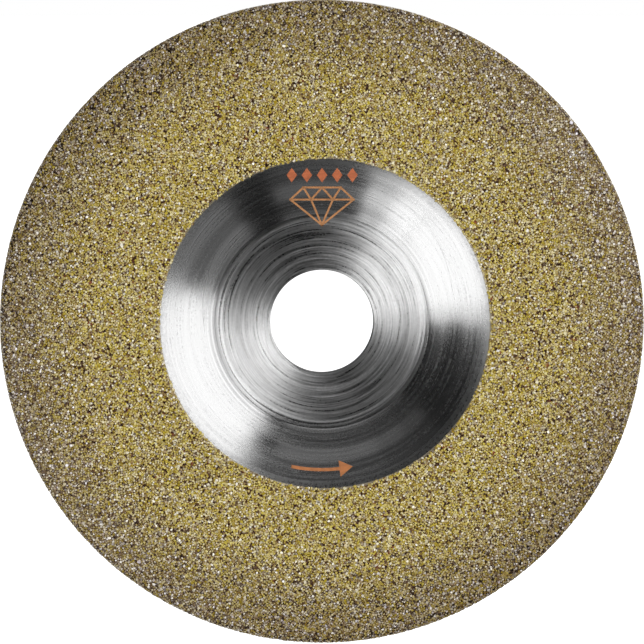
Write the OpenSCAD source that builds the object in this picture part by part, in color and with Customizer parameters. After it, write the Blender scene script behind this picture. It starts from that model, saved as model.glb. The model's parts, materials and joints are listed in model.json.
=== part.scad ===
// Diamond grinding wheel with a depressed centre.
// One turned steel body carries a nickel bond and a single layer of diamond grit on its working face and rim.
// Axis along Y, working face towards -Y, origin at the middle of the bore.

/* [Wheel] */
// Outside diameter over the grit
wheel_d = 100; // [90:1:125]
// Depth of the clamping face below the working face
recess_depth = 4.6; // [4.2:0.1:5.5]
// Thickness of the steel under the working face
plate_t = 2.5; // [2:0.1:3]
// Radius at which the flat part of the working face ends and the crown begins
crown_start_r = 38; // [34:0.5:42]
// Radius of the crowned part of the working face, in section
crown_r = 45; // [40:1:80]
// Rounding of the front edge of the rim
rim_round = 1; // [0.6:0.1:1.2]

/* [Hub] */
// Diameter of the bore
bore_d = 16; // [10:0.5:20]
// Thickness of the hub between its two clamping faces
hub_t = 3; // [2.6:0.1:3.6]
// Chamfer at each end of the bore
bore_chamfer = 0.3; // [0.1:0.05:0.5]
// Radius of the flat clamping face, where the cone begins
flat_r = 15.2; // [13:0.1:16]
// Radius at which the cone has reached the working face
crest_r = 27.4; // [26.5:0.1:29]
// Radius, in section, of the hollow corner at the foot of the cone
foot_round = 5; // [2:0.5:7]
// Radius, in section, of the rounded crest of the cone
crest_round = 8; // [4:0.5:9]
// Depth of the shallow turned rings at the foot of the cone
ring_depth = 0.06; // [0.02:0.01:0.1]
// Number of turned rings at the foot of the cone
ring_count = 3; // [1:1:3]

/* [Coat] */
// Thickness of the nickel bond
nickel_t = 0.24; // [0.15:0.01:0.3]
// Height of the grit above the nickel
grit_height = 0.18; // [0.1:0.01:0.25]
// Radius of the bare hub inside the coat
bare_r = 25.6; // [24.8:0.1:26]
// Sideways error of the bare hub's centre
bare_shift_x = 0.45; // [-0.5:0.05:0.5]
// Upward error of the bare hub's centre
bare_shift_z = -0.15; // [-0.5:0.05:0.5]
// How far the grit stays back from the inner edge of the nickel
grit_setback = 0.12; // [0.05:0.01:0.3]

/* [Hidden] */

STEEL = [0.62, 0.63, 0.64];
NICKEL = [0.42, 0.38, 0.31];
DIAMOND = [0.70, 0.62, 0.30];

turn_fn = 180;                            // facets of a full turn in the preview
arc_steps = 12;                           // chords of a rounded stretch of the section
coat_t = nickel_t + grit_height;
bore_r = bore_d / 2;
steel_r = wheel_d / 2 - coat_t;           // bare steel rim
clamp_h = hub_t / 2;                      // front clamping face
face_h = clamp_h + recess_depth - coat_t; // bare steel working face
back_h = face_h - plate_t;                // back of the plate
ring_pitch = 0.6;                         // spacing of the turned rings
ring_w = 0.35;                            // width of one turned ring
ring_cut_h = 0.4;                         // how far the cutter of a ring stands above it
rim_chamfer = 0.3;                        // back edge of the rim
coat_inner_r = bare_r - 1;                // the coat is built from here and then trimmed
trim_h = 20;                              // height of the cutter that trims the coat

// The section is drawn as [radius, height], and height is towards the working face.
foot_c = [flat_r, clamp_h + foot_round];  // centre of the hollow corner at the foot of the cone
crest_c = [crest_r, face_h - crest_round]; // centre of the crest
crown_c = [crown_start_r, face_h - crown_r]; // centre of the crown

// Slope of the line that touches the foot circle from below and the crest circle from above
function cone_angle(foot_radius, crest_radius) =
    let (d = foot_c - crest_c, reach = foot_radius + crest_radius)
    atan2(-d[0], d[1]) - acos(reach / norm(d));

// Points of an arc about c, from angle a to angle b
function arc(c, r, a, b) = [for (i = [0 : arc_steps]) let (t = a + (b - a) * i / arc_steps)
    c + r * [cos(t), sin(t)]];

// Where the crown turns into the rounded rim edge. Lift moves the section outward along its own normal.
edge_c = [steel_r - rim_round,
    crown_c[1] + sqrt(pow(crown_r - rim_round, 2) - pow(steel_r - rim_round - crown_start_r, 2))];
edge_angle = atan2(edge_c[1] - crown_c[1], edge_c[0] - crown_c[0]);

// Height of the crown's underside, which is plate_t below its front, at radius r
function under_crown(r) = crown_c[1] + sqrt(pow(crown_r - plate_t, 2) - pow(r - crown_start_r, 2));

rim_back_h = under_crown(steel_r - rim_chamfer);

// The working face from the start of the crest's arc to the back of the rim
function face_points(lift, start_angle) = concat(
    arc(crest_c, crest_round + lift, start_angle, 90),
    arc(crown_c, crown_r + lift, 90, edge_angle),
    arc(edge_c, rim_round + lift, edge_angle, 0),
    [[steel_r + lift, rim_back_h + rim_chamfer]]);

front_angle = cone_angle(foot_round, crest_round);
back_angle = cone_angle(foot_round + hub_t, crest_round - plate_t);

// Clamping face with its chamfer, and the hollow corner at the foot of the cone
front_hub = concat(
    [[bore_r, clamp_h - bore_chamfer], [bore_r + bore_chamfer, clamp_h]],
    arc(foot_c, foot_round, -90, front_angle - 90));

// The back, from the rim inwards to the bore
back_points = concat(
    [[steel_r - rim_chamfer, rim_back_h]],
    arc(crown_c, crown_r - plate_t, atan2(rim_back_h - crown_c[1], steel_r - rim_chamfer - crown_c[0]), 90),
    arc(crest_c, crest_round - plate_t, 90, back_angle + 90),
    arc(foot_c, foot_round + hub_t, back_angle - 90, -90),
    [[bore_r + bore_chamfer, -clamp_h], [bore_r, -clamp_h + bore_chamfer]]);

// Turns a section about the wheel's axis, with height towards -Y
module turned() {
    rotate([90, 0, 0]) rotate_extrude($fn = turn_fn) children();
}

// Height of the hollow corner at radius r
function foot_h(r) = foot_c[1] - sqrt(pow(foot_round, 2) - pow(r - flat_r, 2));

// Shallow V-shaped rings left by the turning tool in the hollow corner
module foot_rings() {
    for (i = [1 : ring_count]) {
        r = flat_r + ring_pitch * (i - 0.5);
        turned() polygon([
            [r - ring_w / 2, foot_h(r) + ring_cut_h],
            [r - ring_w / 2, foot_h(r - ring_w / 2)],
            [r, foot_h(r) - ring_depth],
            [r + ring_w / 2, foot_h(r + ring_w / 2)],
            [r + ring_w / 2, foot_h(r) + ring_cut_h]]);
    }
}

// A layer of the coat between two lifts above the steel, open inside the bare hub
module coat_layer(low, high, inner_r) {
    start = acos((coat_inner_r - crest_r) / crest_round);
    below = face_points(low, start);
    above = face_points(high, start);
    difference() {
        turned() polygon(concat(above, [for (i = [len(below) - 1 : -1 : 0]) below[i]]));
        translate([bare_shift_x, 0, bare_shift_z]) rotate([90, 0, 0])
            cylinder(r = inner_r, h = trim_h, center = false, $fn = turn_fn);
    }
}

module wheel_body() {
    color(STEEL) difference() {
        turned() polygon(concat(front_hub, face_points(0, front_angle + 90), back_points));
        foot_rings();
    }
}

module nickel_bond() {
    color(NICKEL) coat_layer(0, nickel_t, bare_r);
}

module diamond_grit() {
    color(DIAMOND) coat_layer(nickel_t, coat_t, bare_r + grit_setback);
}

wheel_body();
nickel_bond();
diamond_grit();
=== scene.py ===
"""Looks of the diamond grinding wheel: turned steel, a nickel bond and a layer of diamond crystals."""
import json
import math
from collections import namedtuple
from itertools import permutations, product

import bmesh
import bpy
import numpy as np
from mathutils import Matrix, Vector


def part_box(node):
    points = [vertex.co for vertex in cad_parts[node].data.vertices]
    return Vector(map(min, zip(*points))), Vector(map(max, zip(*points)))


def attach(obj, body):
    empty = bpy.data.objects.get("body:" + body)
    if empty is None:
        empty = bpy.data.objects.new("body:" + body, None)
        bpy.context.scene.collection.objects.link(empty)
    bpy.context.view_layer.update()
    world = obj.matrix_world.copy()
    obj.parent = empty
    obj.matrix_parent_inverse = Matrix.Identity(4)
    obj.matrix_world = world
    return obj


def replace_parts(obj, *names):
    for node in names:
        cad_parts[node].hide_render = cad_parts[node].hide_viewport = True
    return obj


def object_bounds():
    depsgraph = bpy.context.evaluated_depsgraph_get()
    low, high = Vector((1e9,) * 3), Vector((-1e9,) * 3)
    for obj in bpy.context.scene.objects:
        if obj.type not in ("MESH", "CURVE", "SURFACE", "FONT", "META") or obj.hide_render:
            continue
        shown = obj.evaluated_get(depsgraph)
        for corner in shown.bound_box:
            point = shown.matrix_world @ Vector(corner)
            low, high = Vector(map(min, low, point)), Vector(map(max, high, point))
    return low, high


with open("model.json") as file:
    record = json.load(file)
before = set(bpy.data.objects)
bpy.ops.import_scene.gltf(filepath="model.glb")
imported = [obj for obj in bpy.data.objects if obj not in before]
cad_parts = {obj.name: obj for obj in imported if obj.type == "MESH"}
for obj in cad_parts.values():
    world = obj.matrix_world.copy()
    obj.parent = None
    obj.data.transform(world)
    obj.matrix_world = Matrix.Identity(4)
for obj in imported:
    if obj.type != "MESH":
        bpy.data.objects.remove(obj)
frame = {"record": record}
cad_low, cad_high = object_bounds()

MM = 0.001
TINY = 1e-9
rng = np.random.default_rng(7)

# -------- sizes, in metres
mounts = {m["name"]: m for m in frame["record"]["mounts"]}
WHEEL_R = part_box("diamond_grit")[1].x
STEEL_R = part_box("wheel_body")[1].x
BORE_R = mounts["bore"]["dims"]["r_mm"] * MM
CLAMP_H = -mounts["front_clamping_face"]["pos_m"][1]
FACE_H = -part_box("wheel_body")[0].y
NICKEL_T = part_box("nickel_bond")[1].x - STEEL_R

# The rest of the section repeats the CAD, in which height is towards the working face.
HUB_T = 2 * CLAMP_H
PLATE_T = 2.5 * MM
BORE_CHAMFER = 0.3 * MM
RIM_CHAMFER = 0.3 * MM
FLAT_R = 15.2 * MM
CREST_R = 27.4 * MM
FOOT_ROUND = 5 * MM
CREST_ROUND = 8 * MM
CROWN_START_R = 38 * MM
CROWN_R = 45 * MM
RIM_ROUND = 1 * MM
RING_PITCH = 0.6 * MM
RING_W = 0.35 * MM
RING_DEPTH = 0.06 * MM
RING_COUNT = 3
BARE_R = 25.6 * MM
BARE_SHIFT = (0.45 * MM, -0.15 * MM)  # of the bare hub's centre, along +X and +Z

FOOT_C = np.array([FLAT_R, CLAMP_H + FOOT_ROUND])
CREST_C = np.array([CREST_R, FACE_H - CREST_ROUND])
CROWN_C = np.array([CROWN_START_R, FACE_H - CROWN_R])


# -------- the section
def arc(centre, radius, start, end, steps=24):
    """Points of an arc from angle start to angle end, in degrees."""
    a = np.radians(np.linspace(start, end, steps + 1))
    return np.asarray(centre) + radius * np.column_stack([np.cos(a), np.sin(a)])


def cone_angle(foot_radius, crest_radius):
    """Slope of the line that touches the foot circle from below and the crest circle from above."""
    d = FOOT_C - CREST_C
    reach = foot_radius + crest_radius
    return math.degrees(math.atan2(-d[0], d[1]) - math.acos(reach / np.hypot(*d)))


def resample(line, step):
    """The same line with points about step apart, keeping its ends."""
    length = line_lengths(line)
    at = np.linspace(0, length[-1], max(2, int(round(length[-1] / step)) + 1))
    return np.column_stack([np.interp(at, length, line[:, i]) for i in (0, 1)])


def line_lengths(line):
    """Length along a line from its start to each of its points."""
    return np.concatenate([[0], np.cumsum(np.hypot(*np.diff(line, axis=0).T))])


def line_normals(line, closed=False):
    """Unit normals on the left of a line."""
    if closed:
        d = np.roll(line, -1, axis=0) - np.roll(line, 1, axis=0)
    else:
        d = np.gradient(line, axis=0)
    n = np.column_stack([-d[:, 1], d[:, 0]])
    return n / np.linalg.norm(n, axis=1)[:, None]


FRONT_ANGLE = cone_angle(FOOT_ROUND, CREST_ROUND)
BACK_ANGLE = cone_angle(FOOT_ROUND + HUB_T, CREST_ROUND - PLATE_T)
EDGE_C = np.array([
    STEEL_R - RIM_ROUND,
    CROWN_C[1] + math.sqrt((CROWN_R - RIM_ROUND) ** 2 - (STEEL_R - RIM_ROUND - CROWN_START_R) ** 2),
])
EDGE_ANGLE = math.degrees(math.atan2(*(EDGE_C - CROWN_C)[::-1]))
RIM_BACK_R = STEEL_R - RIM_CHAMFER
RIM_BACK_H = CROWN_C[1] + math.sqrt((CROWN_R - PLATE_T) ** 2 - (RIM_BACK_R - CROWN_START_R) ** 2)
RIM_BACK_ANGLE = math.degrees(math.atan2(RIM_BACK_H - CROWN_C[1], RIM_BACK_R - CROWN_C[0]))

hub_line = np.vstack([
    [BORE_R + BORE_CHAMFER, CLAMP_H],
    arc(FOOT_C, FOOT_ROUND, -90, FRONT_ANGLE - 90),
    arc(CREST_C, CREST_ROUND, FRONT_ANGLE + 90, 90),
])
face_line = np.vstack([
    arc(CREST_C, CREST_ROUND, FRONT_ANGLE + 90, 90),
    arc(CROWN_C, CROWN_R, 90, EDGE_ANGLE),
    arc(EDGE_C, RIM_ROUND, EDGE_ANGLE, 0),
    [STEEL_R, RIM_BACK_H + RIM_CHAMFER],
])
back_line = np.vstack([
    [RIM_BACK_R, RIM_BACK_H],
    arc(CROWN_C, CROWN_R - PLATE_T, RIM_BACK_ANGLE, 90),
    arc(CREST_C, CREST_ROUND - PLATE_T, 90, BACK_ANGLE + 90),
    arc(FOOT_C, FOOT_ROUND + HUB_T, BACK_ANGLE - 90, -90),
    [BORE_R + BORE_CHAMFER, -CLAMP_H],
])


def front_height(r):
    """Height of the bare steel front at radius r."""
    return np.interp(r, hub_line[:, 0], hub_line[:, 1])


def bare_edge(theta, radius):
    """Distance from the wheel's axis to the eccentric edge of the bare hub, at angle theta."""
    shift = math.hypot(*BARE_SHIFT)
    turn = theta - math.atan2(BARE_SHIFT[1], BARE_SHIFT[0])
    return shift * np.cos(turn) + np.sqrt(radius ** 2 - (shift * np.sin(turn)) ** 2)


# -------- meshes
def new_object(name, data):
    """A new object in the scene."""
    obj = bpy.data.objects.new(name, data)
    bpy.context.scene.collection.objects.link(obj)
    return obj


def mesh_object(name, verts, faces, smooth_angle):
    """A piece from an array of vertices and a list of arrays of faces that have equal corner counts."""
    loops = np.concatenate([f.ravel() for f in faces]).astype(np.int32)
    totals = np.concatenate([np.full(len(f), f.shape[1]) for f in faces]).astype(np.int32)
    mesh = bpy.data.meshes.new(name)
    mesh.vertices.add(len(verts))
    mesh.vertices.foreach_set("co", np.asarray(verts, np.float32).ravel())
    mesh.loops.add(len(loops))
    mesh.loops.foreach_set("vertex_index", loops)
    mesh.polygons.add(len(totals))
    mesh.polygons.foreach_set("loop_start", np.concatenate([[0], np.cumsum(totals)[:-1]]).astype(np.int32))
    mesh.update(calc_edges=True)
    mesh.validate()
    if smooth_angle is None:
        mesh.shade_flat()
    else:
        mesh.shade_smooth()
        mesh.set_sharp_from_angle(angle=math.radians(smooth_angle))
    piece = new_object(name, mesh)
    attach(piece, "root")
    return piece


def turned_points(radius, height, theta):
    """Places of section points turned to angle theta about the wheel's axis."""
    return np.stack([radius * np.cos(theta), -height, radius * np.sin(theta)], -1)


def grid_faces(rows, columns, close_rows):
    """Quads of a grid whose columns close round the axis, and whose rows close if asked."""
    k = np.arange(rows if close_rows else rows - 1)[:, None]
    j = np.arange(columns)[None, :]
    after_k, after_j = (k + 1) % rows, (j + 1) % columns
    quads = [k * columns + j, after_k * columns + j, after_k * columns + after_j, k * columns + after_j]
    return np.stack(np.broadcast_arrays(*quads), -1).reshape(-1, 4)


# -------- turned steel body
BODY_SEGMENTS = 320
HUB_STEP = 0.14 * MM
HIDDEN_STEP = 1.0 * MM
BACK_STEP = 0.35 * MM
HIDDEN_FROM = BARE_R + 1.2 * MM  # the coat covers the steel from here on
BORE_EDGE_ARC = (165, 105, 4)    # start, end and steps of the rounding at the front of the bore
FLAT_GROOVE = 0.0022 * MM        # depth of the feed marks, on the flat and the back
CONE_GROOVE = 0.0006 * MM
GROOVE_WAVES = 3
WAVE_DEPTH = 0.5                 # of each wave round the wheel, as a share of the groove's depth
BODY_SMOOTH = 30                 # edges sharper than this many degrees stay sharp


def ring_relief(r):
    """Depth of the turned rings in the hollow corner."""
    centres = FLAT_R + RING_PITCH * (np.arange(RING_COUNT) + 0.5)
    share = 1 - np.abs(r[:, None] - centres) / (RING_W / 2)
    return -RING_DEPTH * np.clip(share, 0, 1).max(1)


def groove_relief(count, theta, depth):
    """Heights of the feed marks: each ring has its own depth, which drifts round the wheel."""
    level = rng.normal(0, 1, (count, 1))
    drift = rng.normal(0, WAVE_DEPTH, (count, GROOVE_WAVES))
    phase = rng.uniform(0, 2 * math.pi, (count, GROOVE_WAVES))
    waves = sum(drift[:, i:i + 1] * np.cos((i + 1) * theta + phase[:, i:i + 1]) for i in range(GROOVE_WAVES))
    return depth * (level + waves)


def make_body():
    """The steel body, its section turned about the axis with feed marks and turned rings."""
    theta = np.linspace(0, 2 * math.pi, BODY_SEGMENTS, endpoint=False)[None, :]
    hub = resample(hub_line[hub_line[:, 0] <= HIDDEN_FROM], HUB_STEP)
    hidden = resample(face_line[face_line[:, 0] > HIDDEN_FROM], HIDDEN_STEP)
    back = resample(back_line, BACK_STEP)
    bore = np.array([[BORE_R, -CLAMP_H + BORE_CHAMFER], [BORE_R, 0], [BORE_R, CLAMP_H - BORE_CHAMFER]])
    chamfer = arc((BORE_R + BORE_CHAMFER, CLAMP_H - BORE_CHAMFER), BORE_CHAMFER, *BORE_EDGE_ARC)
    bore = np.vstack([bore, chamfer])
    section = np.vstack([bore, hub, hidden, back])
    normals = line_normals(section, closed=True)
    r = section[:, 0]
    depth = np.zeros(len(section))
    on_hub = slice(len(bore) + 1, len(bore) + len(hub) - 1)
    on_back = slice(len(section) - len(back) + 2, len(section) - 2)
    depth[on_hub] = np.where(r[on_hub] < FLAT_R, FLAT_GROOVE, CONE_GROOVE)
    depth[on_back] = FLAT_GROOVE
    lift = groove_relief(len(section), theta, depth[:, None])
    lift[on_hub] += ring_relief(r[on_hub])[:, None]
    radius = r[:, None] + normals[:, :1] * lift
    height = section[:, 1:] + normals[:, 1:] * lift
    verts = turned_points(radius, height, theta).reshape(-1, 3)
    faces = grid_faces(len(section), BODY_SEGMENTS, True)
    body = mesh_object("wheel_body_turned", verts, [faces], BODY_SMOOTH)
    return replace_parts(body, "wheel_body")


# -------- nickel bond
NICKEL_SEGMENTS = 640
NICKEL_STEP = 0.3 * MM
NICKEL_UNDER = 0.02 * MM  # how far the nickel reaches into the steel, so that no two faces coincide
NICKEL_LUMPS = 0.022 * MM
RIM_EXTRA = 0.05 * MM     # nickel plates thicker towards the rim
EXTRA_FROM = 0.4          # share of the way to the back of the rim at which it begins to
EDGE_RAMP = 0.18 * MM     # stretch in which the nickel rises to its full thickness
EDGE_REACH = EDGE_RAMP / 3  # how far it creeps inwards past the nominal edge
UNDER_THINNING = 6        # rows of the front for each row of the underside
NICKEL_SMOOTH = 40

face_lengths = line_lengths(face_line)
face_normals = line_normals(face_line)
rising = face_line[:, 0] < STEEL_R - TINY


def face_at(s):
    """Radius, height and normal of the steel working face at arc length s."""
    values = [np.interp(s, face_lengths, c) for c in (*face_line.T, *face_normals.T)]
    size = np.hypot(values[2], values[3])
    return values[0], values[1], values[2] / size, values[3] / size


def arc_length_at(r):
    """Arc length at which the working face has radius r."""
    return np.interp(r, face_line[rising, 0], face_lengths[rising])


def nickel_level(s):
    """Thickness of the nickel at arc length s."""
    share = np.clip((s / face_lengths[-1] - EXTRA_FROM) / (1 - EXTRA_FROM), 0, 1)
    return NICKEL_T + RIM_EXTRA * share


def make_nickel():
    """The nickel bond: a lumpy closed layer from the edge of the bare hub to the back of the rim."""
    theta = np.linspace(0, 2 * math.pi, NICKEL_SEGMENTS, endpoint=False)[None, :]
    start = arc_length_at(bare_edge(theta, BARE_R - EDGE_REACH))
    rows = int((face_lengths[-1] - start.min()) / NICKEL_STEP)
    share = np.linspace(0, 1, rows)[:, None]
    s = start + share * (face_lengths[-1] - start)
    ramp = np.clip((s - start) / EDGE_RAMP, 0, 1)
    lift = nickel_level(s) * np.sqrt(1 - (1 - ramp) ** 2)
    lift += rng.normal(0, NICKEL_LUMPS, lift.shape) * ramp
    under_rows = rows // UNDER_THINNING
    under_s = start + np.linspace(1, 0, under_rows)[:, None] * (face_lengths[-1] - start)
    s = np.vstack([s, under_s])
    lift = np.vstack([lift, np.full(under_s.shape, -NICKEL_UNDER)])
    r, h, nr, nh = face_at(s)
    verts = turned_points(r + nr * lift, h + nh * lift, np.broadcast_to(theta, s.shape))
    faces = grid_faces(len(s), NICKEL_SEGMENTS, True)
    nickel = mesh_object("nickel_bond_plated", verts.reshape(-1, 3), [faces], NICKEL_SMOOTH)
    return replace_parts(nickel, "nickel_bond")


# -------- diamond crystals
CRYSTAL_W = 0.40 * MM     # mean width
SIZE_SPREAD = 0.09
CRYSTAL_TOP = 0.44 * MM   # the tallest that a crystal stands over the steel
STRETCH = (0.80, 1.20)    # range of a crystal's stretch along each of its axes
PITCH = 0.380 * MM        # mean distance between crystals, if each had a square to itself
APART = 0.39 * MM         # crystals nearer than this push each other away
JITTER = 0.30             # first scatter, as a share of the pitch
ROUNDS = 8                # of pushing apart
AREA_STEPS = 4000
MISSING = 0.045           # share of the crystals that have been torn out
RAGGED = 0.06 * MM        # unevenness of the grit's inner edge
INNER_GAP = CRYSTAL_W / 5  # how far the grit stays back from that edge
RIM_GAP = CRYSTAL_W / 2   # and from the back edge of the rim
SETTLED = 0.45            # share of the crystals that lie on a face
SETTLED_TILT = 0.06
LEAN = 0.85               # how far a crystal's tone leans away from its neighbours'
BESIDE = 1.5 * PITCH      # crystals nearer than this are neighbours
RIM_DRIFT = 1.5           # the larger, the nearer the rim the grit changes colour
GOLDEN_ANGLE = math.pi * (3 - math.sqrt(5))
FLAT_ENOUGH = 3           # degrees between two facets that are merged into one
GROWN_REACHES = (1.72, 2.0, 2.4)
BROKEN_SHAPES = 6
BREAKAGE = (0.72, 1.12)   # range by which each coordinate of a corner is scaled
SHAPE_SHARES = np.array([0.07, 0.24, 0.09] + [0.10] * BROKEN_SHAPES)


def hull_shape(points):
    """Vertices and faces of the hull of some points, flat faces merged, scaled to a mean width of 1."""
    bm = bmesh.new()
    for p in points:
        bm.verts.new(p)
    hull = bmesh.ops.convex_hull(bm, input=bm.verts)
    inside = [g for g in hull["geom_interior"] if isinstance(g, bmesh.types.BMVert)]
    bmesh.ops.delete(bm, geom=inside, context="VERTS")
    bmesh.ops.dissolve_limit(bm, angle_limit=math.radians(FLAT_ENOUGH), verts=bm.verts, edges=bm.edges)
    bmesh.ops.recalc_face_normals(bm, faces=bm.faces)
    bm.verts.index_update()
    verts = np.array([v.co for v in bm.verts])
    faces = [[v.index for v in f.verts] for f in bm.faces]
    bm.free()
    return verts / np.ptp(verts, axis=0).mean(), faces


def truncated_cube(reach):
    """Corners of a cube cut by an octahedron: reach 2 gives a cuboctahedron."""
    cut = reach - 2
    corner = (0.0, 1 + cut, 1.0) if cut < 0 else (cut, 1.0, 1.0)
    mirrors = product((1, -1), repeat=3)
    corners = {tuple(c * m + 0.0 for c, m in zip(*pair)) for pair in product(permutations(corner), mirrors)}
    return np.array(sorted(corners))


def crystal_shapes():
    """Well-grown blocky crystals, and broken ones with uneven facets."""
    grown = [truncated_cube(reach) for reach in GROWN_REACHES]
    broken = [truncated_cube(2.0) * rng.uniform(*BREAKAGE, (12, 3)) for _ in range(BROKEN_SHAPES)]
    return [hull_shape(p) for p in grown + broken]


def close_pairs(places, reach):
    """Index pairs of places that are less than reach apart, each pair both ways round."""
    cells = np.floor(places / reach).astype(np.int64)
    span = np.ptp(cells, axis=0) + 3
    weight = np.array([span[1] * span[2], span[2], 1])
    ids = (cells - cells.min(0) + 1) @ weight
    order = np.argsort(ids)
    ranked = ids[order]
    first, second = [], []
    for step in np.ndindex(3, 3, 3):
        target = ids + (np.array(step) - 1) @ weight
        start = np.searchsorted(ranked, target, "left")
        end = np.searchsorted(ranked, target, "right")
        for k in range(int((end - start).max())):
            mine = np.nonzero(start + k < end)[0]
            other = order[start[mine] + k]
            near = ((places[mine] - places[other]) ** 2).sum(1) < reach ** 2
            near &= mine != other
            first.append(mine[near])
            second.append(other[near])
    return np.concatenate(first), np.concatenate(second)


def face_axes(s, theta):
    """Place on the steel, and the directions outward along the section, round the wheel and off the face."""
    r, h, nr, nh = face_at(s)
    c, q = np.cos(theta), np.sin(theta)
    normal = np.stack([nr * c, -nh, nr * q], -1)
    outward = np.stack([nh * c, nr, nh * q], -1)
    return turned_points(r, h, theta), outward, np.cross(normal, outward), normal


def scatter():
    """Arc lengths and angles of crystals packed close in one layer, with a few missing."""
    share = np.linspace(0, 1, AREA_STEPS + 1)
    area = np.cumsum(face_at(share * face_lengths[-1])[0])
    total = 2 * math.pi * area[-1] * face_lengths[-1] / AREA_STEPS
    count = int(total / PITCH ** 2)
    k = np.arange(count)
    s = np.interp((k + 0.5) / count, area / area[-1], share) * face_lengths[-1]
    theta = k * GOLDEN_ANGLE
    s += rng.normal(0, JITTER * PITCH, count)
    theta += rng.normal(0, JITTER * PITCH, count) / face_at(s)[0]
    for _ in range(ROUNDS):
        places, outward, around, _ = face_axes(s, theta)
        i, j = close_pairs(places, APART)
        gap = places[i] - places[j]
        length = np.linalg.norm(gap, axis=1)[:, None]
        push = gap / np.maximum(length, TINY) * (APART - length) / 2
        move = np.stack([np.bincount(i, push[:, n], count) for n in range(3)], -1)
        s = s + (move * outward).sum(1)
        theta = theta + (move * around).sum(1) / face_at(s)[0]
    edge = arc_length_at(bare_edge(theta, BARE_R) + rng.uniform(0, RAGGED, count))
    keep = (s > edge + INNER_GAP) & (s < face_lengths[-1] - RIM_GAP)
    keep &= rng.uniform(0, 1, count) > MISSING
    return s[keep], theta[keep]


def leaning_shares(first, second, count):
    """Random shares from 0 to 1, each leaning away from the mean of its neighbours, given as index pairs."""
    value = rng.normal(size=count)
    beside = np.maximum(np.bincount(first, minlength=count), 1)
    value -= LEAN * np.bincount(first, value[second], count) / beside
    return value.argsort().argsort() / count


def random_turns(count):
    """Random rotation matrices. The settled crystals lie nearly flat on a face and are mostly spun."""
    q = rng.normal(size=(count, 4))
    q[rng.uniform(0, 1, count) < SETTLED, 1:3] *= SETTLED_TILT
    w, x, y, z = (q / np.linalg.norm(q, axis=1)[:, None]).T
    return np.stack([
        np.stack([1 - 2 * (y * y + z * z), 2 * (x * y - z * w), 2 * (x * z + y * w)], -1),
        np.stack([2 * (x * y + z * w), 1 - 2 * (x * x + z * z), 2 * (y * z - x * w)], -1),
        np.stack([2 * (x * z - y * w), 2 * (y * z + x * w), 1 - 2 * (x * x + y * y)], -1),
    ], 1)


def crystal_batch(shape, s, theta):
    """Vertices and faces of copies of one shape, each turned at random and lying on the steel.

    Last come the heights of the faces over the steel, as shares of their own crystal's height.
    """
    verts, faces = shape
    count = len(s)
    size = CRYSTAL_W * np.exp(rng.normal(0, SIZE_SPREAD, (count, 1, 1)))
    stretch = rng.uniform(*STRETCH, (count, 1, 3))
    local = np.einsum("nij,nvj->nvi", random_turns(count), verts[None] * stretch * size)
    local[:, :, 2] -= local[:, :, 2].min(1)[:, None]
    local[:, :, 2] *= np.minimum(1, CRYSTAL_TOP / local[:, :, 2].max(1))[:, None]
    places, *axes = face_axes(s, theta)
    placed = places[:, None] + np.einsum("nvi,nij->nvj", local, np.stack(axes, 1))
    offsets = np.arange(count)[:, None] * len(verts)
    rises = [local[:, f, 2].mean(1) / local[:, :, 2].max(1) for f in faces]
    return placed.reshape(-1, 3), [np.array([f]) + offsets for f in faces], rises


def choose_grades(s, chance):
    """Grade of each crystal by its chance from 0 to 1. The grades' shares drift from the hub to the rim."""
    outward = np.clip(s / face_lengths[-1], 0, 1)[:, None] ** RIM_DRIFT
    at_hub = np.array([g.hub_share for g in GRADES])
    at_rim = np.array([g.rim_share for g in GRADES])
    limits = np.cumsum((1 - outward) * at_hub + outward * at_rim, axis=1)
    return (chance[:, None] * limits[:, -1:] > limits).sum(1)


def make_crystals():
    """One piece for each colour grade of the grit."""
    shapes = crystal_shapes()
    s, theta = scatter()
    beside = close_pairs(turned_points(*face_at(s)[:2], theta), BESIDE)
    grade_of = choose_grades(s, leaning_shares(*beside, len(s)))
    grain_of = leaning_shares(*beside, len(s))
    shape_of = rng.choice(len(shapes), len(s), p=SHAPE_SHARES / SHAPE_SHARES.sum())
    for index, grade in enumerate(GRADES):
        verts, faces, marks, total = [], {}, {}, 0
        for k, shape in enumerate(shapes):
            mine = (grade_of == index) & (shape_of == k)
            placed, turned, rises = crystal_batch(shape, s[mine], theta[mine])
            for f, rise in zip(turned, rises):
                faces.setdefault(f.shape[1], []).append(f + total)
                marks.setdefault(f.shape[1], []).append(np.stack([grain_of[mine], rise]))
            verts.append(placed)
            total += len(placed)
        groups = [np.concatenate(faces[n]) for n in sorted(faces)]
        grain, rise = np.concatenate([np.concatenate(marks[n], axis=1) for n in sorted(faces)], axis=1)
        piece = mesh_object("diamond_grit_" + grade.name, np.concatenate(verts), groups, None)
        for name, values in (("grain", grain), ("rise", rise), ("facet", rng.uniform(0, 1, len(grain)))):
            attribute = piece.data.attributes.new(name, "FLOAT", "FACE")
            attribute.data.foreach_set("value", values.astype(np.float32))
        piece.data.materials.append(diamond_material(grade))
        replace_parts(piece, "diamond_grit")


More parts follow.
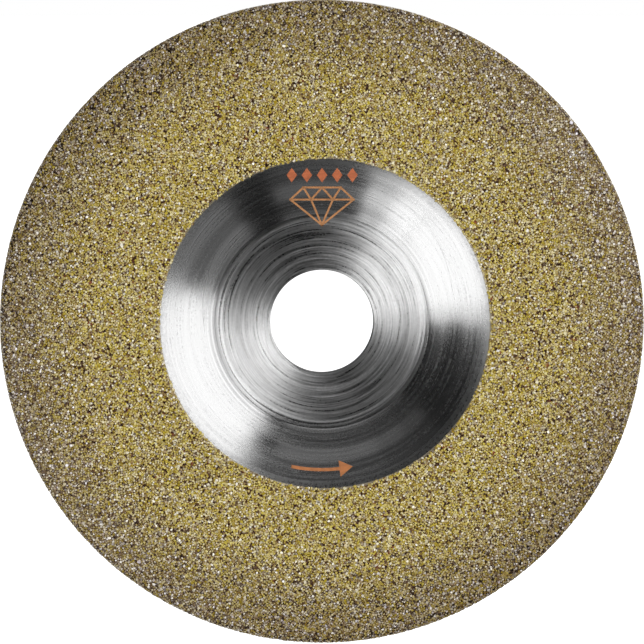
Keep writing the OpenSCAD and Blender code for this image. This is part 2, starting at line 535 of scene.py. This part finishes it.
# -------- etched marks
MARK_LIFT = 0.014 * MM    # over the steel
MARK_UNDER = 0.02 * MM    # and into it
MARK_STEP = 0.3 * MM
MARK_SMOOTH = 30
LOZENGE_COUNT = 5
LOZENGE_PITCH = 2.35 * MM
LOZENGE_Z = 22.85 * MM
LOZENGE_HALF_W = 0.82 * MM
LOZENGE_HALF_H = 1.15 * MM
GEM_LINE = 0.30 * MM
GEM_TOP, GEM_GIRDLE, GEM_TIP = 20.9 * MM, 19.0 * MM, 15.0 * MM   # heights
GEM_TABLE, GEM_INNER, GEM_WIDE = 2.9 * MM, 1.7 * MM, 4.9 * MM    # half-widths
ARROW_R = 22.9 * MM
ARROW_LINE = 0.5 * MM
ARROW_HEAD = 1.25 * MM    # half-width
ARROW_START, ARROW_NECK, ARROW_END = np.radians((258, 276.8, 282))
ARROW_LAP = 0.01          # how far the shaft runs into the head, in radians
ARROW_STEPS = 24


class MarkBuilder:
    """Gathers thin closed patches that follow the steel front. Places are x and z as the face is seen."""

    def __init__(self):
        self.verts, self.faces, self.total = [], [], 0

    def patch(self, corners, width_steps=6, length_steps=6):
        """A four-cornered patch, its corners given anticlockwise."""
        a, b, c, d = (np.array(p, float) for p in corners)
        u = np.linspace(0, 1, length_steps + 1)[:, None, None]
        v = np.linspace(0, 1, width_steps + 1)[None, :, None]
        self.sheet((1 - u) * (1 - v) * a + u * (1 - v) * b + u * v * c + (1 - u) * v * d)

    def sheet(self, grid):
        """A patch from rows of places, closed by its sides and underside."""
        rows, columns = grid.shape[:2]
        r = np.hypot(grid[..., 0], grid[..., 1])
        h = front_height(r)
        top = np.stack([grid[..., 0], -(h + MARK_LIFT), grid[..., 1]], -1).reshape(-1, 3)
        low = np.stack([grid[..., 0], -(h - MARK_UNDER), grid[..., 1]], -1).reshape(-1, 3)
        i = np.arange(rows - 1)[:, None] * columns + np.arange(columns - 1)[None, :]
        front = np.stack([i, i + columns, i + columns + 1, i + 1], -1).reshape(-1, 4)
        under = front[:, ::-1] + rows * columns
        ring = np.concatenate([
            np.arange(rows) * columns,
            (rows - 1) * columns + np.arange(1, columns),
            np.arange(rows - 2, -1, -1) * columns + columns - 1,
            np.arange(columns - 2, 0, -1),
        ])
        after = np.roll(ring, -1)
        side = np.stack([after, ring, ring + rows * columns, after + rows * columns], -1)
        self.verts.append(np.vstack([top, low]))
        self.faces.append(np.vstack([front, under, side]) + self.total)
        self.total += 2 * rows * columns

    def stroke(self, points, width, closed=False):
        """A ribbon along each stretch between the points, each lapping over its neighbours."""
        points = np.array(points, float)
        if closed:
            points = np.vstack([points, points[:1]])
        for a, b in zip(points[:-1], points[1:]):
            way = (b - a) / np.linalg.norm(b - a)
            side = np.array([-way[1], way[0]]) * width / 2
            lap = way * width / 2
            steps = max(1, int(np.linalg.norm(b - a) / MARK_STEP))
            self.patch((a - lap - side, b + lap - side, b + lap + side, a - lap + side), 1, steps)

    def build(self, name, material):
        """Makes the piece of all the patches so far."""
        faces = [np.vstack(self.faces)]
        piece = mesh_object(name, np.vstack(self.verts), faces, MARK_SMOOTH)
        piece.data.materials.append(material)


def around_point(radius, angle):
    """A place, or places, at a radius and an angle on the face as it is seen."""
    return np.stack([radius * np.cos(angle), radius * np.sin(angle)], -1)


def make_lozenges():
    """A row of lozenges over the bore."""
    row = MarkBuilder()
    for i in range(LOZENGE_COUNT):
        x = (i - (LOZENGE_COUNT - 1) / 2) * LOZENGE_PITCH
        left, right = (x - LOZENGE_HALF_W, LOZENGE_Z), (x + LOZENGE_HALF_W, LOZENGE_Z)
        row.patch((left, (x, LOZENGE_Z - LOZENGE_HALF_H), right, (x, LOZENGE_Z + LOZENGE_HALF_H)))
    row.build("etched_lozenges", etch_material("etched_copper", (0.50, 0.135, 0.05)))


def make_gem():
    """The outline of a cut gem, its tip towards the bore."""
    gem = MarkBuilder()
    table_left, table_right = (-GEM_TABLE, GEM_TOP), (GEM_TABLE, GEM_TOP)
    left, right = (-GEM_WIDE, GEM_GIRDLE), (GEM_WIDE, GEM_GIRDLE)
    inner_left, inner_right = (-GEM_INNER, GEM_GIRDLE), (GEM_INNER, GEM_GIRDLE)
    tip = (0, GEM_TIP)
    gem.stroke([table_left, table_right, right, tip, left], GEM_LINE, closed=True)
    gem.stroke([left, right], GEM_LINE)
    gem.stroke([table_left, inner_left, (0, GEM_TOP), inner_right, table_right], GEM_LINE)
    gem.stroke([inner_left, tip, inner_right], GEM_LINE)
    gem.build("etched_gem", etch_material("etched_bronze", (0.48, 0.22, 0.085)))


def make_arrow():
    """A curved arrow under the bore, which shows the way the wheel turns."""
    arrow = MarkBuilder()
    angles = np.linspace(ARROW_START, ARROW_NECK + ARROW_LAP, ARROW_STEPS)
    outer, inner = ARROW_R + ARROW_LINE / 2, ARROW_R - ARROW_LINE / 2
    arrow.sheet(np.stack([around_point(outer, angles), around_point(inner, angles)], 1))
    outer, inner = (around_point(ARROW_R + side, ARROW_NECK) for side in (ARROW_HEAD, -ARROW_HEAD))
    tip = around_point(ARROW_R, ARROW_END)
    arrow.patch((outer, tip, tip, inner))
    arrow.build("etched_arrow", etch_material("etched_amber", (0.46, 0.17, 0.055)))


def make_marks():
    """Plain etched signs: a row of lozenges over a cut gem, and a turning arrow at the foot."""
    make_lozenges()
    make_gem()
    make_arrow()


# -------- materials
# Radii at which one look begins to give way to the next, and at which it has done so
RIM_ZONE = (34 * MM, 50 * MM)                          # the grit is duller towards the rim
LIP_HIGHLIGHT_ZONE = (BARE_R + 0.35 * MM, BARE_R + 0.1 * MM)     # painted highlight on the inner edge of the nickel
HAZE_ZONE = (BARE_R - 1.7 * MM, BARE_R - 0.2 * MM)     # steel dulled by the plating
CREST_ZONE = (21.5 * MM, 25.0 * MM)                    # the cone eases off towards its crest
FOOT_ZONE = (20.0 * MM, 17.0 * MM)                     # and towards its foot
FLAT_ZONE = (17.2 * MM, 15.8 * MM)                     # the flat has its own turned finish
SMOOTH_ZONE = (12.4 * MM, 14.0 * MM)                   # which is a little smoother further out
BORE_SHADE_ZONE = (BORE_R + 0.20 * MM, BORE_R + 0.06 * MM)   # painted shade at the edge of the bore


class Nodes:
    """The node tree of a material or a world, with short calls for the nodes used here."""

    def __init__(self, owner, shader="Principled BSDF"):
        owner.use_nodes = True
        self.owner = owner
        self.tree = owner.node_tree
        self.shader = self.tree.nodes[shader]

    def add(self, kind, *inputs, **settings):
        """A new node with its settings, and its inputs given as pairs of socket and value."""
        node = self.tree.nodes.new(kind)
        for key, value in settings.items():
            setattr(node, key, value)
        for socket, value in inputs:
            self.feed(node.inputs[socket], value)
        return node

    def feed(self, socket, value):
        """Links a value to a socket, or sets it there if it is a constant."""
        if isinstance(value, bpy.types.NodeSocket):
            self.tree.links.new(value, socket)
        else:
            socket.default_value = value

    def math(self, operation, a, b=0.0, c=0.0, clamp=False):
        node = self.add("ShaderNodeMath", (0, a), (1, b), (2, c), operation=operation, use_clamp=clamp)
        return node.outputs[0]

    def vector_math(self, operation, a, b):
        return self.add("ShaderNodeVectorMath", (0, a), (1, b), operation=operation).outputs["Vector"]

    def noise(self, vector, scale, detail=2.0, roughness=0.5):
        node = self.add("ShaderNodeTexNoise", ("Vector", vector), ("Scale", scale),
                        ("Detail", detail), ("Roughness", roughness))
        return node.outputs["Fac"]

    def ramp(self, fac, stops):
        """Colour by a value, from stops of value and colour."""
        node = self.add("ShaderNodeValToRGB", ("Fac", fac))
        ramp = node.color_ramp
        while len(ramp.elements) < len(stops):
            ramp.elements.new(0.5)
        for element, (place, colour) in zip(ramp.elements, stops):
            element.position = place
            element.color = (*colour, 1)
        return node.outputs["Color"]

    def mix(self, fac, a, b, **settings):
        node = self.add("ShaderNodeMix", data_type="RGBA", **settings)
        for socket, value in zip(("Factor", "A", "B"), (fac, a, b)):
            self.feed(node.inputs[socket], value)
        return node.outputs["Result"]

    def multiply(self, a, b):
        return self.mix(1.0, a, b, blend_type="MULTIPLY")

    def stretch(self, value, low, high):
        """0 where a value is at low and 1 where it is at high."""
        node = self.add("ShaderNodeMapRange", ("Value", value), ("From Min", low), ("From Max", high))
        return node.outputs[0]

    def share(self, noise, half):
        """Noise stretched to the whole range 0 to 1, with more contrast the smaller half is."""
        return self.stretch(noise, 0.5 - half, 0.5 + half)

    def weigh(self, *terms, start=0.0):
        """Sum of values times weights, added to start."""
        total = start
        for value, weight in terms:
            total = self.math("MULTIPLY_ADD", value, weight, total)
        return total

    def zone(self, value, start, end, top=1.0):
        """0 where a value is at start, rising smoothly to top where it is at end."""
        node = self.add("ShaderNodeMapRange", ("Value", value), ("From Min", start), ("From Max", end),
                        ("To Max", top), interpolation_type="SMOOTHSTEP")
        return node.outputs[0]

    def radius(self, place):
        """Distance from the wheel's axis."""
        flat = self.vector_math("MULTIPLY", place, (1, 0, 1))
        return self.add("ShaderNodeVectorMath", (0, flat), operation="LENGTH").outputs["Value"]

    def radius_in_hub(self, place):
        """Distance from the centre line of the bare hub, which lies a little off the wheel's axis."""
        return self.radius(self.vector_math("SUBTRACT", place, (BARE_SHIFT[0], 0, BARE_SHIFT[1])))

    def near_rim(self, place):
        """0 over most of the face, rising to 1 at the rim, where the grit is duller."""
        return self.zone(self.radius(place), *RIM_ZONE)

    def spread(self, value, low, high):
        """A value from 0 to 1 brought to the range from low to high."""
        node = self.add("ShaderNodeMapRange", ("Value", value), ("To Min", low), ("To Max", high))
        return node.outputs[0]

    def bump(self, height, strength, distance, **more):
        """The surface's normal, tilted by a height."""
        node = self.add("ShaderNodeBump", ("Height", height), ("Strength", strength), ("Distance", distance),
                        *more.items())
        return node.outputs[0]

    def set(self, **values):
        """Feeds the shader's inputs, by their names with underscores for spaces."""
        for key, value in values.items():
            self.feed(self.shader.inputs[key.replace("_", " ")], value)


def greys(stops):
    """Stops of a grey colour ramp."""
    return [(place, (value, value, value)) for place, value in stops]


def material_nodes(name):
    """The nodes of a new material, and the places they are read at."""
    n = Nodes(bpy.data.materials.new(name))
    return n, n.add("ShaderNodeTexCoord").outputs["Object"]


def turned_vector(n, place, around):
    """Coordinates that run with the turning grooves: radius in millimetres, then the angle, drawn out."""
    flat = n.vector_math("MULTIPLY", place, (1, 0, 1))
    unit = n.add("ShaderNodeVectorMath", (0, flat), operation="NORMALIZE").outputs["Vector"]
    sides = n.add("ShaderNodeSeparateXYZ", (0, n.vector_math("MULTIPLY", unit, (around,) * 3))).outputs
    fine = n.math("MULTIPLY", n.radius(place), 1 / MM)
    return n.add("ShaderNodeCombineXYZ", (0, fine), (1, sides[0]), (2, sides[2])).outputs[0]


# Scratches across the turned face, in millimetres and degrees: centre along X and Z, radius, middle of the
# stretch that shows, and its half-width
SCRATCHES = [
    (1.2, 1.4, 9.6, 140, 40),
    (1.6, -1.2, 10.4, 215, 35),
    (-1.0, 1.5, 10.9, 300, 30),
    (0.6, 1.0, 12.2, 150, 28),
    (-0.8, -0.6, 12.9, 40, 26),
    (2.4, 1.8, 20.9, 170, 20),
    (-2.0, 2.2, 22.4, 20, 16),
]
SCRATCH_HALF_W = 0.08 * MM
SCRATCH_FADE = 0.04             # how soon a scratch fades out at its ends
SCRATCH_SHARE = (0.4, 1.0)      # range of its strength
SCRATCH_ROUGHNESS = 0.25


def scratch_mask(n, parts):
    """White along thin arcs whose centres lie beside the wheel's axis."""
    total = None
    for x, z, radius, middle, half in SCRATCHES:
        dx = n.math("SUBTRACT", parts[0], x * MM)
        dz = n.math("SUBTRACT", parts[2], z * MM)
        far = n.math("SQRT", n.math("ADD", n.math("MULTIPLY", dx, dx), n.math("MULTIPLY", dz, dz)))
        off = n.math("ABSOLUTE", n.math("SUBTRACT", far, radius * MM))
        line = n.math("SUBTRACT", 1.0, n.math("DIVIDE", off, SCRATCH_HALF_W), clamp=True)
        way = math.radians(middle)
        along = n.weigh((dx, math.cos(way)), (dz, math.sin(way)))
        facing = n.math("SUBTRACT", n.math("DIVIDE", along, far), math.cos(math.radians(half)))
        window = n.math("DIVIDE", facing, SCRATCH_FADE, clamp=True)
        stroke = n.math("MULTIPLY", line, window)
        total = stroke if total is None else n.math("MAXIMUM", total, stroke)
    return total


# Painted light and shade in bands round the foot of the cone, where it is turned: radius in millimetres, and
# how light the steel is painted there
FOOT_RING_LIGHT_AND_SHADE = [
    (12.5, 1.0), (13.1, 0.86), (14.7, 0.86), (15.05, 0.95), (15.26, 0.80), (15.5, 1.06), (15.88, 1.14),
    (16.1, 0.92), (16.3, 0.64), (16.5, 0.68), (16.9, 0.58), (17.0, 0.66), (17.12, 0.98), (17.22, 0.95),
    (17.38, 0.74), (17.55, 0.70), (17.72, 0.94), (17.85, 1.05), (18.0, 0.88), (18.3, 0.96),
]
RING_SHADE_SIDE = (-0.57, -0.82)      # the painted light and shade of the rings is strongest on this side, along X and Z
RING_SHADE_GAIN = 16.0                # how fast they grow towards it
RING_SHADE_SHARE = (0.25, 0.85)       # range of their strength elsewhere
BORE_SHADE_SIDE = (0.7, -0.7)         # the painted shade at the bore's edge shows on this side
BORE_SHADE_FROM = 4.0 * MM
BORE_SHADE_GAIN = 160.0
BORE_SHADE_TONE = (0.3, 0.3, 0.3, 1)

# Marks of the turning tool, as noise: how fast it changes round the wheel (None if it isn't drawn out), its
# scale, detail and roughness, and half the range that is kept
LONG, SHORT = 0.26, 1.5
TURNING_MARKS = {
    "lines": (LONG, 2.3, 2.0, 0.7, 0.115),
    "hairs": (LONG, 4.2, 1.0, 0.5, 0.10),
    "dashes": (SHORT, 3.0, 3.0, 0.65, 0.12),
    "drift": (SHORT, 0.5, 1.0, 0.5, 0.12),
    "sand": (None, 2600.0, 2.0, 0.6, 0.12),
}
MOTTLE = {"lines": 0.51, "hairs": 0.19, "dashes": 0.21, "sand": 0.09}
FLAT_STOPS = [(0.12, 0.39), (0.32, 0.55), (0.55, 0.69), (0.74, 0.81), (0.88, 0.98)]
CONE_STOPS = [(0.15, 0.52), (0.50, 0.54), (0.85, 0.56)]
FLAT_ROUGHNESS = {"lines": 0.22, "hairs": 0.10, "dashes": 0.06, "drift": 0.07, "sand": 0.05}
FLAT_SMOOTHEST = 0.177
SMOOTHER = 0.05                 # how much less rough the outer part of the flat is
CONE_ROUGHNESS = {"lines": 0.04, "hairs": 0.04, "scuffs": 0.11}
CONE_SMOOTHEST = 0.20
SCUFFS = {"dashes": 0.30, "hairs": 0.35, "sand": 0.35}
SCUFFS_FROM = 0.66
HAZE = (0.03, 0.12)             # range of what the haze adds
DISH = 0.24 * MM                # how much the cone eases off towards its foot and its crest
GROOVE_BUMP = (0.03, 0.10)      # strength on the cone and on the flat
GROOVE_DISTANCE = 0.02 * MM
STEEL_ANISOTROPY = 0.93
ACROSS_GROOVES = 0.25           # of a turn, so that highlights run across the grooves


def blend(n, marks, weights, start=0.0):
    """Sum of the marks times their weights, added to start."""
    return n.weigh(*[(marks[name], weight) for name, weight in weights.items()], start=start)


def turning_marks(n, place):
    """Marks of the turning tool, each from 0 to 1, and the mottle and scuffs they add up to."""
    grooves = {around: turned_vector(n, place, around) for around in (LONG, SHORT)}
    marks = {}
    for name, (around, scale, detail, roughness, half) in TURNING_MARKS.items():
        marks[name] = n.share(n.noise(grooves.get(around, place), scale, detail, roughness), half)
    marks["mottle"] = blend(n, marks, MOTTLE)
    marks["scuffs"] = n.stretch(blend(n, marks, SCUFFS), SCUFFS_FROM, 1.0)
    return marks


def towards(n, parts, side):
    """How far a place lies towards a side of the wheel."""
    return n.weigh((parts[0], side[0]), (parts[2], side[1]))


def steel_tone(n, marks, parts, radius, on_flat):
    """Colour: mottled flat and cone, painted light and shade on the rings at the cone's foot, and painted
    shade at the edge of the bore.
    """
    cone_tone, flat_tone = (n.ramp(marks["mottle"], greys(stops)) for stops in (CONE_STOPS, FLAT_STOPS))
    tone = n.mix(on_flat, cone_tone, flat_tone)
    # painted light and shade in bands round the cone's foot, strongest on one side
    first, last = FOOT_RING_LIGHT_AND_SHADE[0][0], FOOT_RING_LIGHT_AND_SHADE[-1][0]
    lip = n.stretch(radius, first * MM, last * MM)
    rings = n.ramp(lip, greys([((r - first) / (last - first), value) for r, value in FOOT_RING_LIGHT_AND_SHADE]))
    ring_shade_side = n.math("MULTIPLY", towards(n, parts, RING_SHADE_SIDE), RING_SHADE_GAIN)
    ring_shade_share = n.math("ADD", ring_shade_side, n.spread(marks["drift"], *RING_SHADE_SHARE), clamp=True)
    tone = n.mix(ring_shade_share, tone, n.multiply(tone, rings))
    # painted shade at the edge of the bore, on one side only
    bore_shade_side = n.math("ADD", towards(n, parts, BORE_SHADE_SIDE), BORE_SHADE_FROM)
    bore_shade_side = n.math("MULTIPLY", bore_shade_side, BORE_SHADE_GAIN, clamp=True)
    bore_shade_share = n.math("MULTIPLY", n.stretch(radius, *BORE_SHADE_ZONE), bore_shade_side)
    return n.mix(bore_shade_share, tone, n.multiply(tone, BORE_SHADE_TONE))


def steel_roughness(n, marks, place, parts, radius, on_flat):
    """Roughness: the cone has scuffs, and a haze by the coat; the flat is coarser; both have scratches."""
    flat = blend(n, marks, FLAT_ROUGHNESS, FLAT_SMOOTHEST)
    flat = n.math("SUBTRACT", flat, n.zone(radius, *SMOOTH_ZONE, SMOOTHER))
    haze = n.zone(n.radius_in_hub(place), *HAZE_ZONE)
    haze = n.math("MULTIPLY", haze, n.spread(marks["sand"], *HAZE))
    cone = n.math("ADD", blend(n, marks, CONE_ROUGHNESS, CONE_SMOOTHEST), haze)
    rough = n.add("ShaderNodeMix", ("Factor", on_flat), ("A", cone), ("B", flat), data_type="FLOAT")
    scratch = n.math("MULTIPLY", scratch_mask(n, parts), n.spread(marks["dashes"], *SCRATCH_SHARE))
    return n.math("ADD", rough.outputs["Result"], n.math("MULTIPLY", scratch, SCRATCH_ROUGHNESS))


def steel_normal(n, marks, radius, on_flat):
    """Bump: the cone eases off at its foot and crest, and the grooves lie over that."""
    inner = n.zone(radius, *FOOT_ZONE, DISH)
    outer = n.zone(radius, *CREST_ZONE, DISH)
    dished = n.bump(n.math("SUBTRACT", inner, outer), 1.0, 1.0)
    return n.bump(marks["mottle"], n.spread(on_flat, *GROOVE_BUMP), GROOVE_DISTANCE, Normal=dished)


def steel_material():
    """Turned steel, whose fine grooves draw the reflections out into fans."""
    n, place = material_nodes("turned_steel")
    parts = n.add("ShaderNodeSeparateXYZ", (0, place)).outputs
    radius = n.radius(place)
    on_flat = n.zone(radius, *FLAT_ZONE)
    marks = turning_marks(n, place)
    n.set(Base_Color=steel_tone(n, marks, parts, radius, on_flat),
          Metallic=1.0,
          Roughness=steel_roughness(n, marks, place, parts, radius, on_flat),
          Anisotropic=STEEL_ANISOTROPY,
          Anisotropic_Rotation=ACROSS_GROOVES,
          Tangent=n.add("ShaderNodeTangent", direction_type="RADIAL", axis="Y").outputs[0],
          Normal=steel_normal(n, marks, radius, on_flat))
    return n.owner


# nickel colours, partly the nickel's own and partly painted shade as in the gaps between the crystals; the
# second set, darker still, is used at the rim
NICKEL_GAP_SHADE_STOPS = [(0.32, (0.020, 0.009, 0.005)), (0.5, (0.09, 0.041, 0.024)), (0.72, (0.32, 0.20, 0.12))]
NICKEL_RIM_GAP_SHADE_STOPS = [(0.35, (0.015, 0.008, 0.005)), (0.7, (0.20, 0.135, 0.085))]
NICKEL_STAIN = (0.36, 0.115, 0.05, 1)
# painted highlight: the colour that the inner edge of the nickel is lightened to
NICKEL_LIP_HIGHLIGHT = (0.66, 0.58, 0.42, 1)
NICKEL_METALLIC = 0.85
NICKEL_ROUGHNESS = (0.35, 0.6)


def nickel_material():
    """Dull nodular nickel, darkened with painted shade between the crystals, with rusty stains and a painted
    highlight on its inner edge.
    """
    n, place = material_nodes("plated_nickel")
    lumps = n.noise(place, 2400.0, 3.0)
    stained = n.ramp(n.noise(place, 900.0, 2.0), greys([(0.62, 0), (0.68, 1)]))
    # lumpy nickel darkened with painted shade, with rusty stains
    colour = n.mix(stained, n.ramp(lumps, NICKEL_GAP_SHADE_STOPS), NICKEL_STAIN)
    colour = n.mix(n.near_rim(place), colour, n.ramp(lumps, NICKEL_RIM_GAP_SHADE_STOPS))
    # painted highlight along the inner edge of the nickel
    colour = n.mix(n.stretch(n.radius_in_hub(place), *LIP_HIGHLIGHT_ZONE), colour, NICKEL_LIP_HIGHLIGHT)
    n.set(Base_Color=colour,
          Metallic=NICKEL_METALLIC,
          Roughness=n.spread(lumps, *NICKEL_ROUGHNESS),
          Normal=n.bump(lumps, 0.6, 0.05 * MM))
    return n.owner


FACET_HIGHLIGHT_SHARES = (0.48, 0.46, 0.28)  # how far the middle step of the painted highlight goes from the body colour to the light one
# painted shade: the lower a facet sits on its crystal, the darker it is painted, as in the gaps between the
# crystals
GAP_SHADE_STOPS = [(0.25, (0.11, 0.055, 0.035)), (0.60, (0.62, 0.535, 0.46)), (0.86, (1, 1, 1))]
RIM_TINT = (0.64, 0.605, 0.755, 1)   # darkens the grit and greys it towards the rim
POLISH_STOPS = [(0.14, 0.06), (0.26, 0.32)]
DIAMOND_IOR = 2.4


def diamond_material(grade):
    """Yellow diamond: each facet has its own tone, partly painted highlight and shade, and painted shade
    darkens the low facets, which sit in the gaps.
    """
    n, place = material_nodes("diamond_" + grade.name)
    marks = ("facet", "grain", "rise")
    facet, grain, rise = (n.add("ShaderNodeAttribute", attribute_name=mark).outputs["Fac"] for mark in marks)
    cloud = n.share(n.noise(place, 3800.0, 1.0), 0.2)
    # the facet's tone is partly the crystal's random tone and partly painted highlight and painted shade
    tone = n.weigh((facet, 0.51), (grain, 0.29), (cloud, 0.20))
    partial_highlight = [b + (t - b) * share for b, t, share in zip(grade.body, grade.light, FACET_HIGHLIGHT_SHARES)]
    colour = n.ramp(tone, [(0.20, grade.deep), (0.5, grade.body), (0.66, partial_highlight), (0.83, grade.light)])
    # painted shade on the low facets, in the gaps between the crystals
    colour = n.multiply(colour, n.ramp(rise, GAP_SHADE_STOPS))
    colour = n.mix(n.near_rim(place), colour, n.multiply(colour, RIM_TINT))
    n.set(Base_Color=colour,
          Roughness=n.ramp(facet, greys(POLISH_STOPS)),
          IOR=DIAMOND_IOR,
          Specular_IOR_Level=grade.gloss,
          Normal=n.bump(cloud, 0.15, 0.02 * MM))
    return n.owner


def etch_material(name, colour):
    """Matt etched colour, streaked with the grooves of the steel under it."""
    n, place = material_nodes(name)
    fine = n.noise(turned_vector(n, place, 1.6), 3.2, 3.0)
    burn = n.noise(place, 1500.0, 3.0)
    dark = tuple(c * 0.7 for c in colour)
    light = tuple(min(1.0, c * 1.3) for c in colour)
    tone = n.weigh((fine, 0.5), (burn, 0.5))
    n.set(Base_Color=n.ramp(tone, [(0.3, dark), (0.5, colour), (0.7, light)]),
          Metallic=0.1,
          Roughness=n.spread(burn, 0.5, 0.75))
    return n.owner


# Colour grades of the grit, darkest first. The shares are of all the crystals near the hub and at the rim.
# The colours are those of dark, middling and bright facets: the dark and bright ones are partly random tone
# and partly painted shade and painted highlight, the palest being painted glints.
Grade = namedtuple("Grade", "name gloss hub_share rim_share deep body light")
GRADES = [
    Grade("smoky", 0.4, 0.03, 0.07, (0.09, 0.05, 0.025), (0.21, 0.14, 0.066), (0.44, 0.36, 0.26)),
    Grade("brown", 0.3, 0.06, 0.13, (0.17, 0.095, 0.024), (0.32, 0.205, 0.044), (0.49, 0.36, 0.21)),
    Grade("amber", 0.26, 0.17, 0.20, (0.27, 0.17, 0.024), (0.46, 0.325, 0.028), (0.67, 0.55, 0.32)),
    Grade("golden", 0.26, 0.19, 0.08, (0.34, 0.235, 0.020), (0.55, 0.42, 0.025), (0.75, 0.66, 0.41)),
    Grade("wheat", 0.5, 0.13, 0.14, (0.33, 0.23, 0.048), (0.53, 0.41, 0.078), (0.82, 0.75, 0.66)),
    Grade("lemon", 0.3, 0.18, 0.08, (0.37, 0.27, 0.025), (0.60, 0.475, 0.030), (0.81, 0.74, 0.52)),
    Grade("straw", 0.5, 0.16, 0.15, (0.36, 0.26, 0.05), (0.57, 0.46, 0.075), (0.85, 0.79, 0.71)),
    Grade("pale", 1.0, 0.08, 0.15, (0.42, 0.33, 0.15), (0.67, 0.57, 0.24), (1.0, 0.98, 0.95)),
]


# -------- studio
SOFTBOX_DISTANCE = 0.65
SOFTBOX_ROWS = 5


def direction(azimuth, polar):
    """Unit vector at polar degrees from the way the face looks; the azimuth is anticlockwise from +X."""
    a, p = math.radians(azimuth), math.radians(polar)
    return Vector((math.sin(p) * math.cos(a), -math.cos(p), math.sin(p) * math.sin(a)))


def soft_box(name, azimuths, polars, radiance):
    """A fan-shaped softbox made of rows of panels, each as wide as its own stretch of azimuth."""
    middle, span = sum(azimuths) / 2, azimuths[1] - azimuths[0]
    steps = np.linspace(*polars, SOFTBOX_ROWS + 1)
    for i, (low, high) in enumerate(zip(steps[:-1], steps[1:])):
        polar = (low + high) / 2
        reach = SOFTBOX_DISTANCE * math.sin(math.radians(polar))
        light = bpy.data.lights.new(f"{name}_{i}", "AREA")
        light.shape = "RECTANGLE"
        light.size = 2 * reach * math.tan(math.radians(span / 2))
        light.size_y = SOFTBOX_DISTANCE * math.radians(high - low)
        light.energy = radiance * math.pi * light.size * light.size_y
        lamp = new_object(light.name, light)
        way = direction(middle, polar)
        lamp.location = way * SOFTBOX_DISTANCE
        outward = direction(middle, polar + 90)
        across = outward.cross(way)
        lamp.rotation_mode = "QUATERNION"
        lamp.rotation_quaternion = Matrix((across, outward, way)).transposed().to_quaternion()
        lamp.visible_camera = False


# Softboxes: range of azimuth, range of angle from the way the face looks, and radiance
SOFTBOXES = {
    "key": ((-17, 56), (10, 76), 2.05),
    "fill": ((189, 231), (10, 76), 2.05),
    "fill_right": ((184, 189), (10, 76), 1.1),
    "fill_left": ((231, 242), (24, 76), 2.05),
    "fill_end": ((242, 253), (32, 76), 1.3),
    "top": ((68, 98), (47, 80), 0.62),
    "top_left": ((98, 115), (47, 80), 0.55),
    "far_left": ((115, 128), (47, 80), 0.36),
    "left_end": ((128, 140), (47, 80), 0.19),
    "low": ((250, 290), (46, 78), 0.28),
    "side": ((306, 342), (20, 43), 0.37),
    "side_wide": ((308, 340), (43, 62), 0.05),
    "behind_right": ((15, 75), (112, 152), 1.3),
    "behind_right_start": ((3, 15), (112, 152), 0.65),
    "behind_right_end": ((75, 87), (112, 152), 0.65),
    "behind_left": ((195, 250), (112, 152), 1.3),
    "behind_left_start": ((183, 195), (112, 152), 0.65),
    "behind_left_end": ((250, 262), (112, 152), 0.65),
}
GLOSSY_WORLD = [(0.0, 0.018), (0.2, 0.20), (0.85, 0.28), (0.97, 0.95)]  # by how far behind the wheel
AMBIENT = (0.41, 0.41, 0.41, 1)
WHITE = (1, 1, 1, 1)
FLOOR_SIZE = 30.0
FLOOR_GAP = 0.3 * MM
FLOOR_STOPS = [(0.3, 0.88), (0.7, 0.92)]
FLOOR_ROUGHNESS = 0.9
FLOOR_GLOW = 0.95
CAMERA_AZIMUTH = -0.6
CAMERA_ELEVATION = 2.9
CAMERA_DISTANCE = 1.0
SENSOR_WIDTH = 36


def make_world():
    """White to the camera, even grey to matt surfaces, and greys that brighten to the back for the rest."""
    world = bpy.data.worlds.new("studio")
    bpy.context.scene.world = world
    n = Nodes(world, "Background")
    ray = n.add("ShaderNodeLightPath").outputs
    way = n.add("ShaderNodeTexCoord").outputs["Generated"]
    behind = n.add("ShaderNodeSeparateXYZ", (0, way)).outputs["Y"]
    soft = n.mix(ray["Is Diffuse Ray"], n.ramp(behind, greys(GLOSSY_WORLD)), AMBIENT)
    n.set(Color=n.mix(ray["Is Camera Ray"], soft, WHITE))


def make_floor():
    """A pale floor just under the wheel, which only the camera sees."""
    mesh = bpy.data.meshes.new("floor")
    bm = bmesh.new()
    bmesh.ops.create_grid(bm, x_segments=1, y_segments=1, size=FLOOR_SIZE)
    bm.to_mesh(mesh)
    bm.free()
    floor = new_object("floor", mesh)
    floor.location.z = cad_low.z - FLOOR_GAP
    floor.visible_glossy = False
    floor.visible_diffuse = False
    n, place = material_nodes("pale_floor")
    n.set(Base_Color=n.ramp(n.noise(place, 3.0), greys(FLOOR_STOPS)),
          Roughness=FLOOR_ROUGHNESS,
          Emission_Color=WHITE,
          Emission_Strength=FLOOR_GLOW)
    mesh.materials.append(n.owner)


def make_camera():
    """A long lens almost face-on, in whose picture the wheel's rim fills the width."""
    a, e = math.radians(CAMERA_AZIMUTH), math.radians(CAMERA_ELEVATION)
    back = Vector((math.sin(a) * math.cos(e), -math.cos(a) * math.cos(e), math.sin(e)))
    data = bpy.data.cameras.new("camera")
    data.sensor_width = SENSOR_WIDTH
    data.lens = SENSOR_WIDTH * CAMERA_DISTANCE / (2 * WHEEL_R)
    camera = new_object("camera", data)
    rim_centre = Vector((0, -EDGE_C[1], 0))
    camera.location = rim_centre + back * CAMERA_DISTANCE
    camera.rotation_mode = "QUATERNION"
    camera.rotation_quaternion = (-back).to_track_quat("-Z", "Y")
    bpy.context.scene.camera = camera


# -------- the wheel
bpy.context.scene.view_settings.view_transform = "Standard"
body = make_body()
body.data.materials.append(steel_material())
nickel = make_nickel()
nickel.data.materials.append(nickel_material())
make_crystals()
make_marks()
for name, softbox in SOFTBOXES.items():
    soft_box(name, *softbox)
make_world()
make_floor()
make_camera()
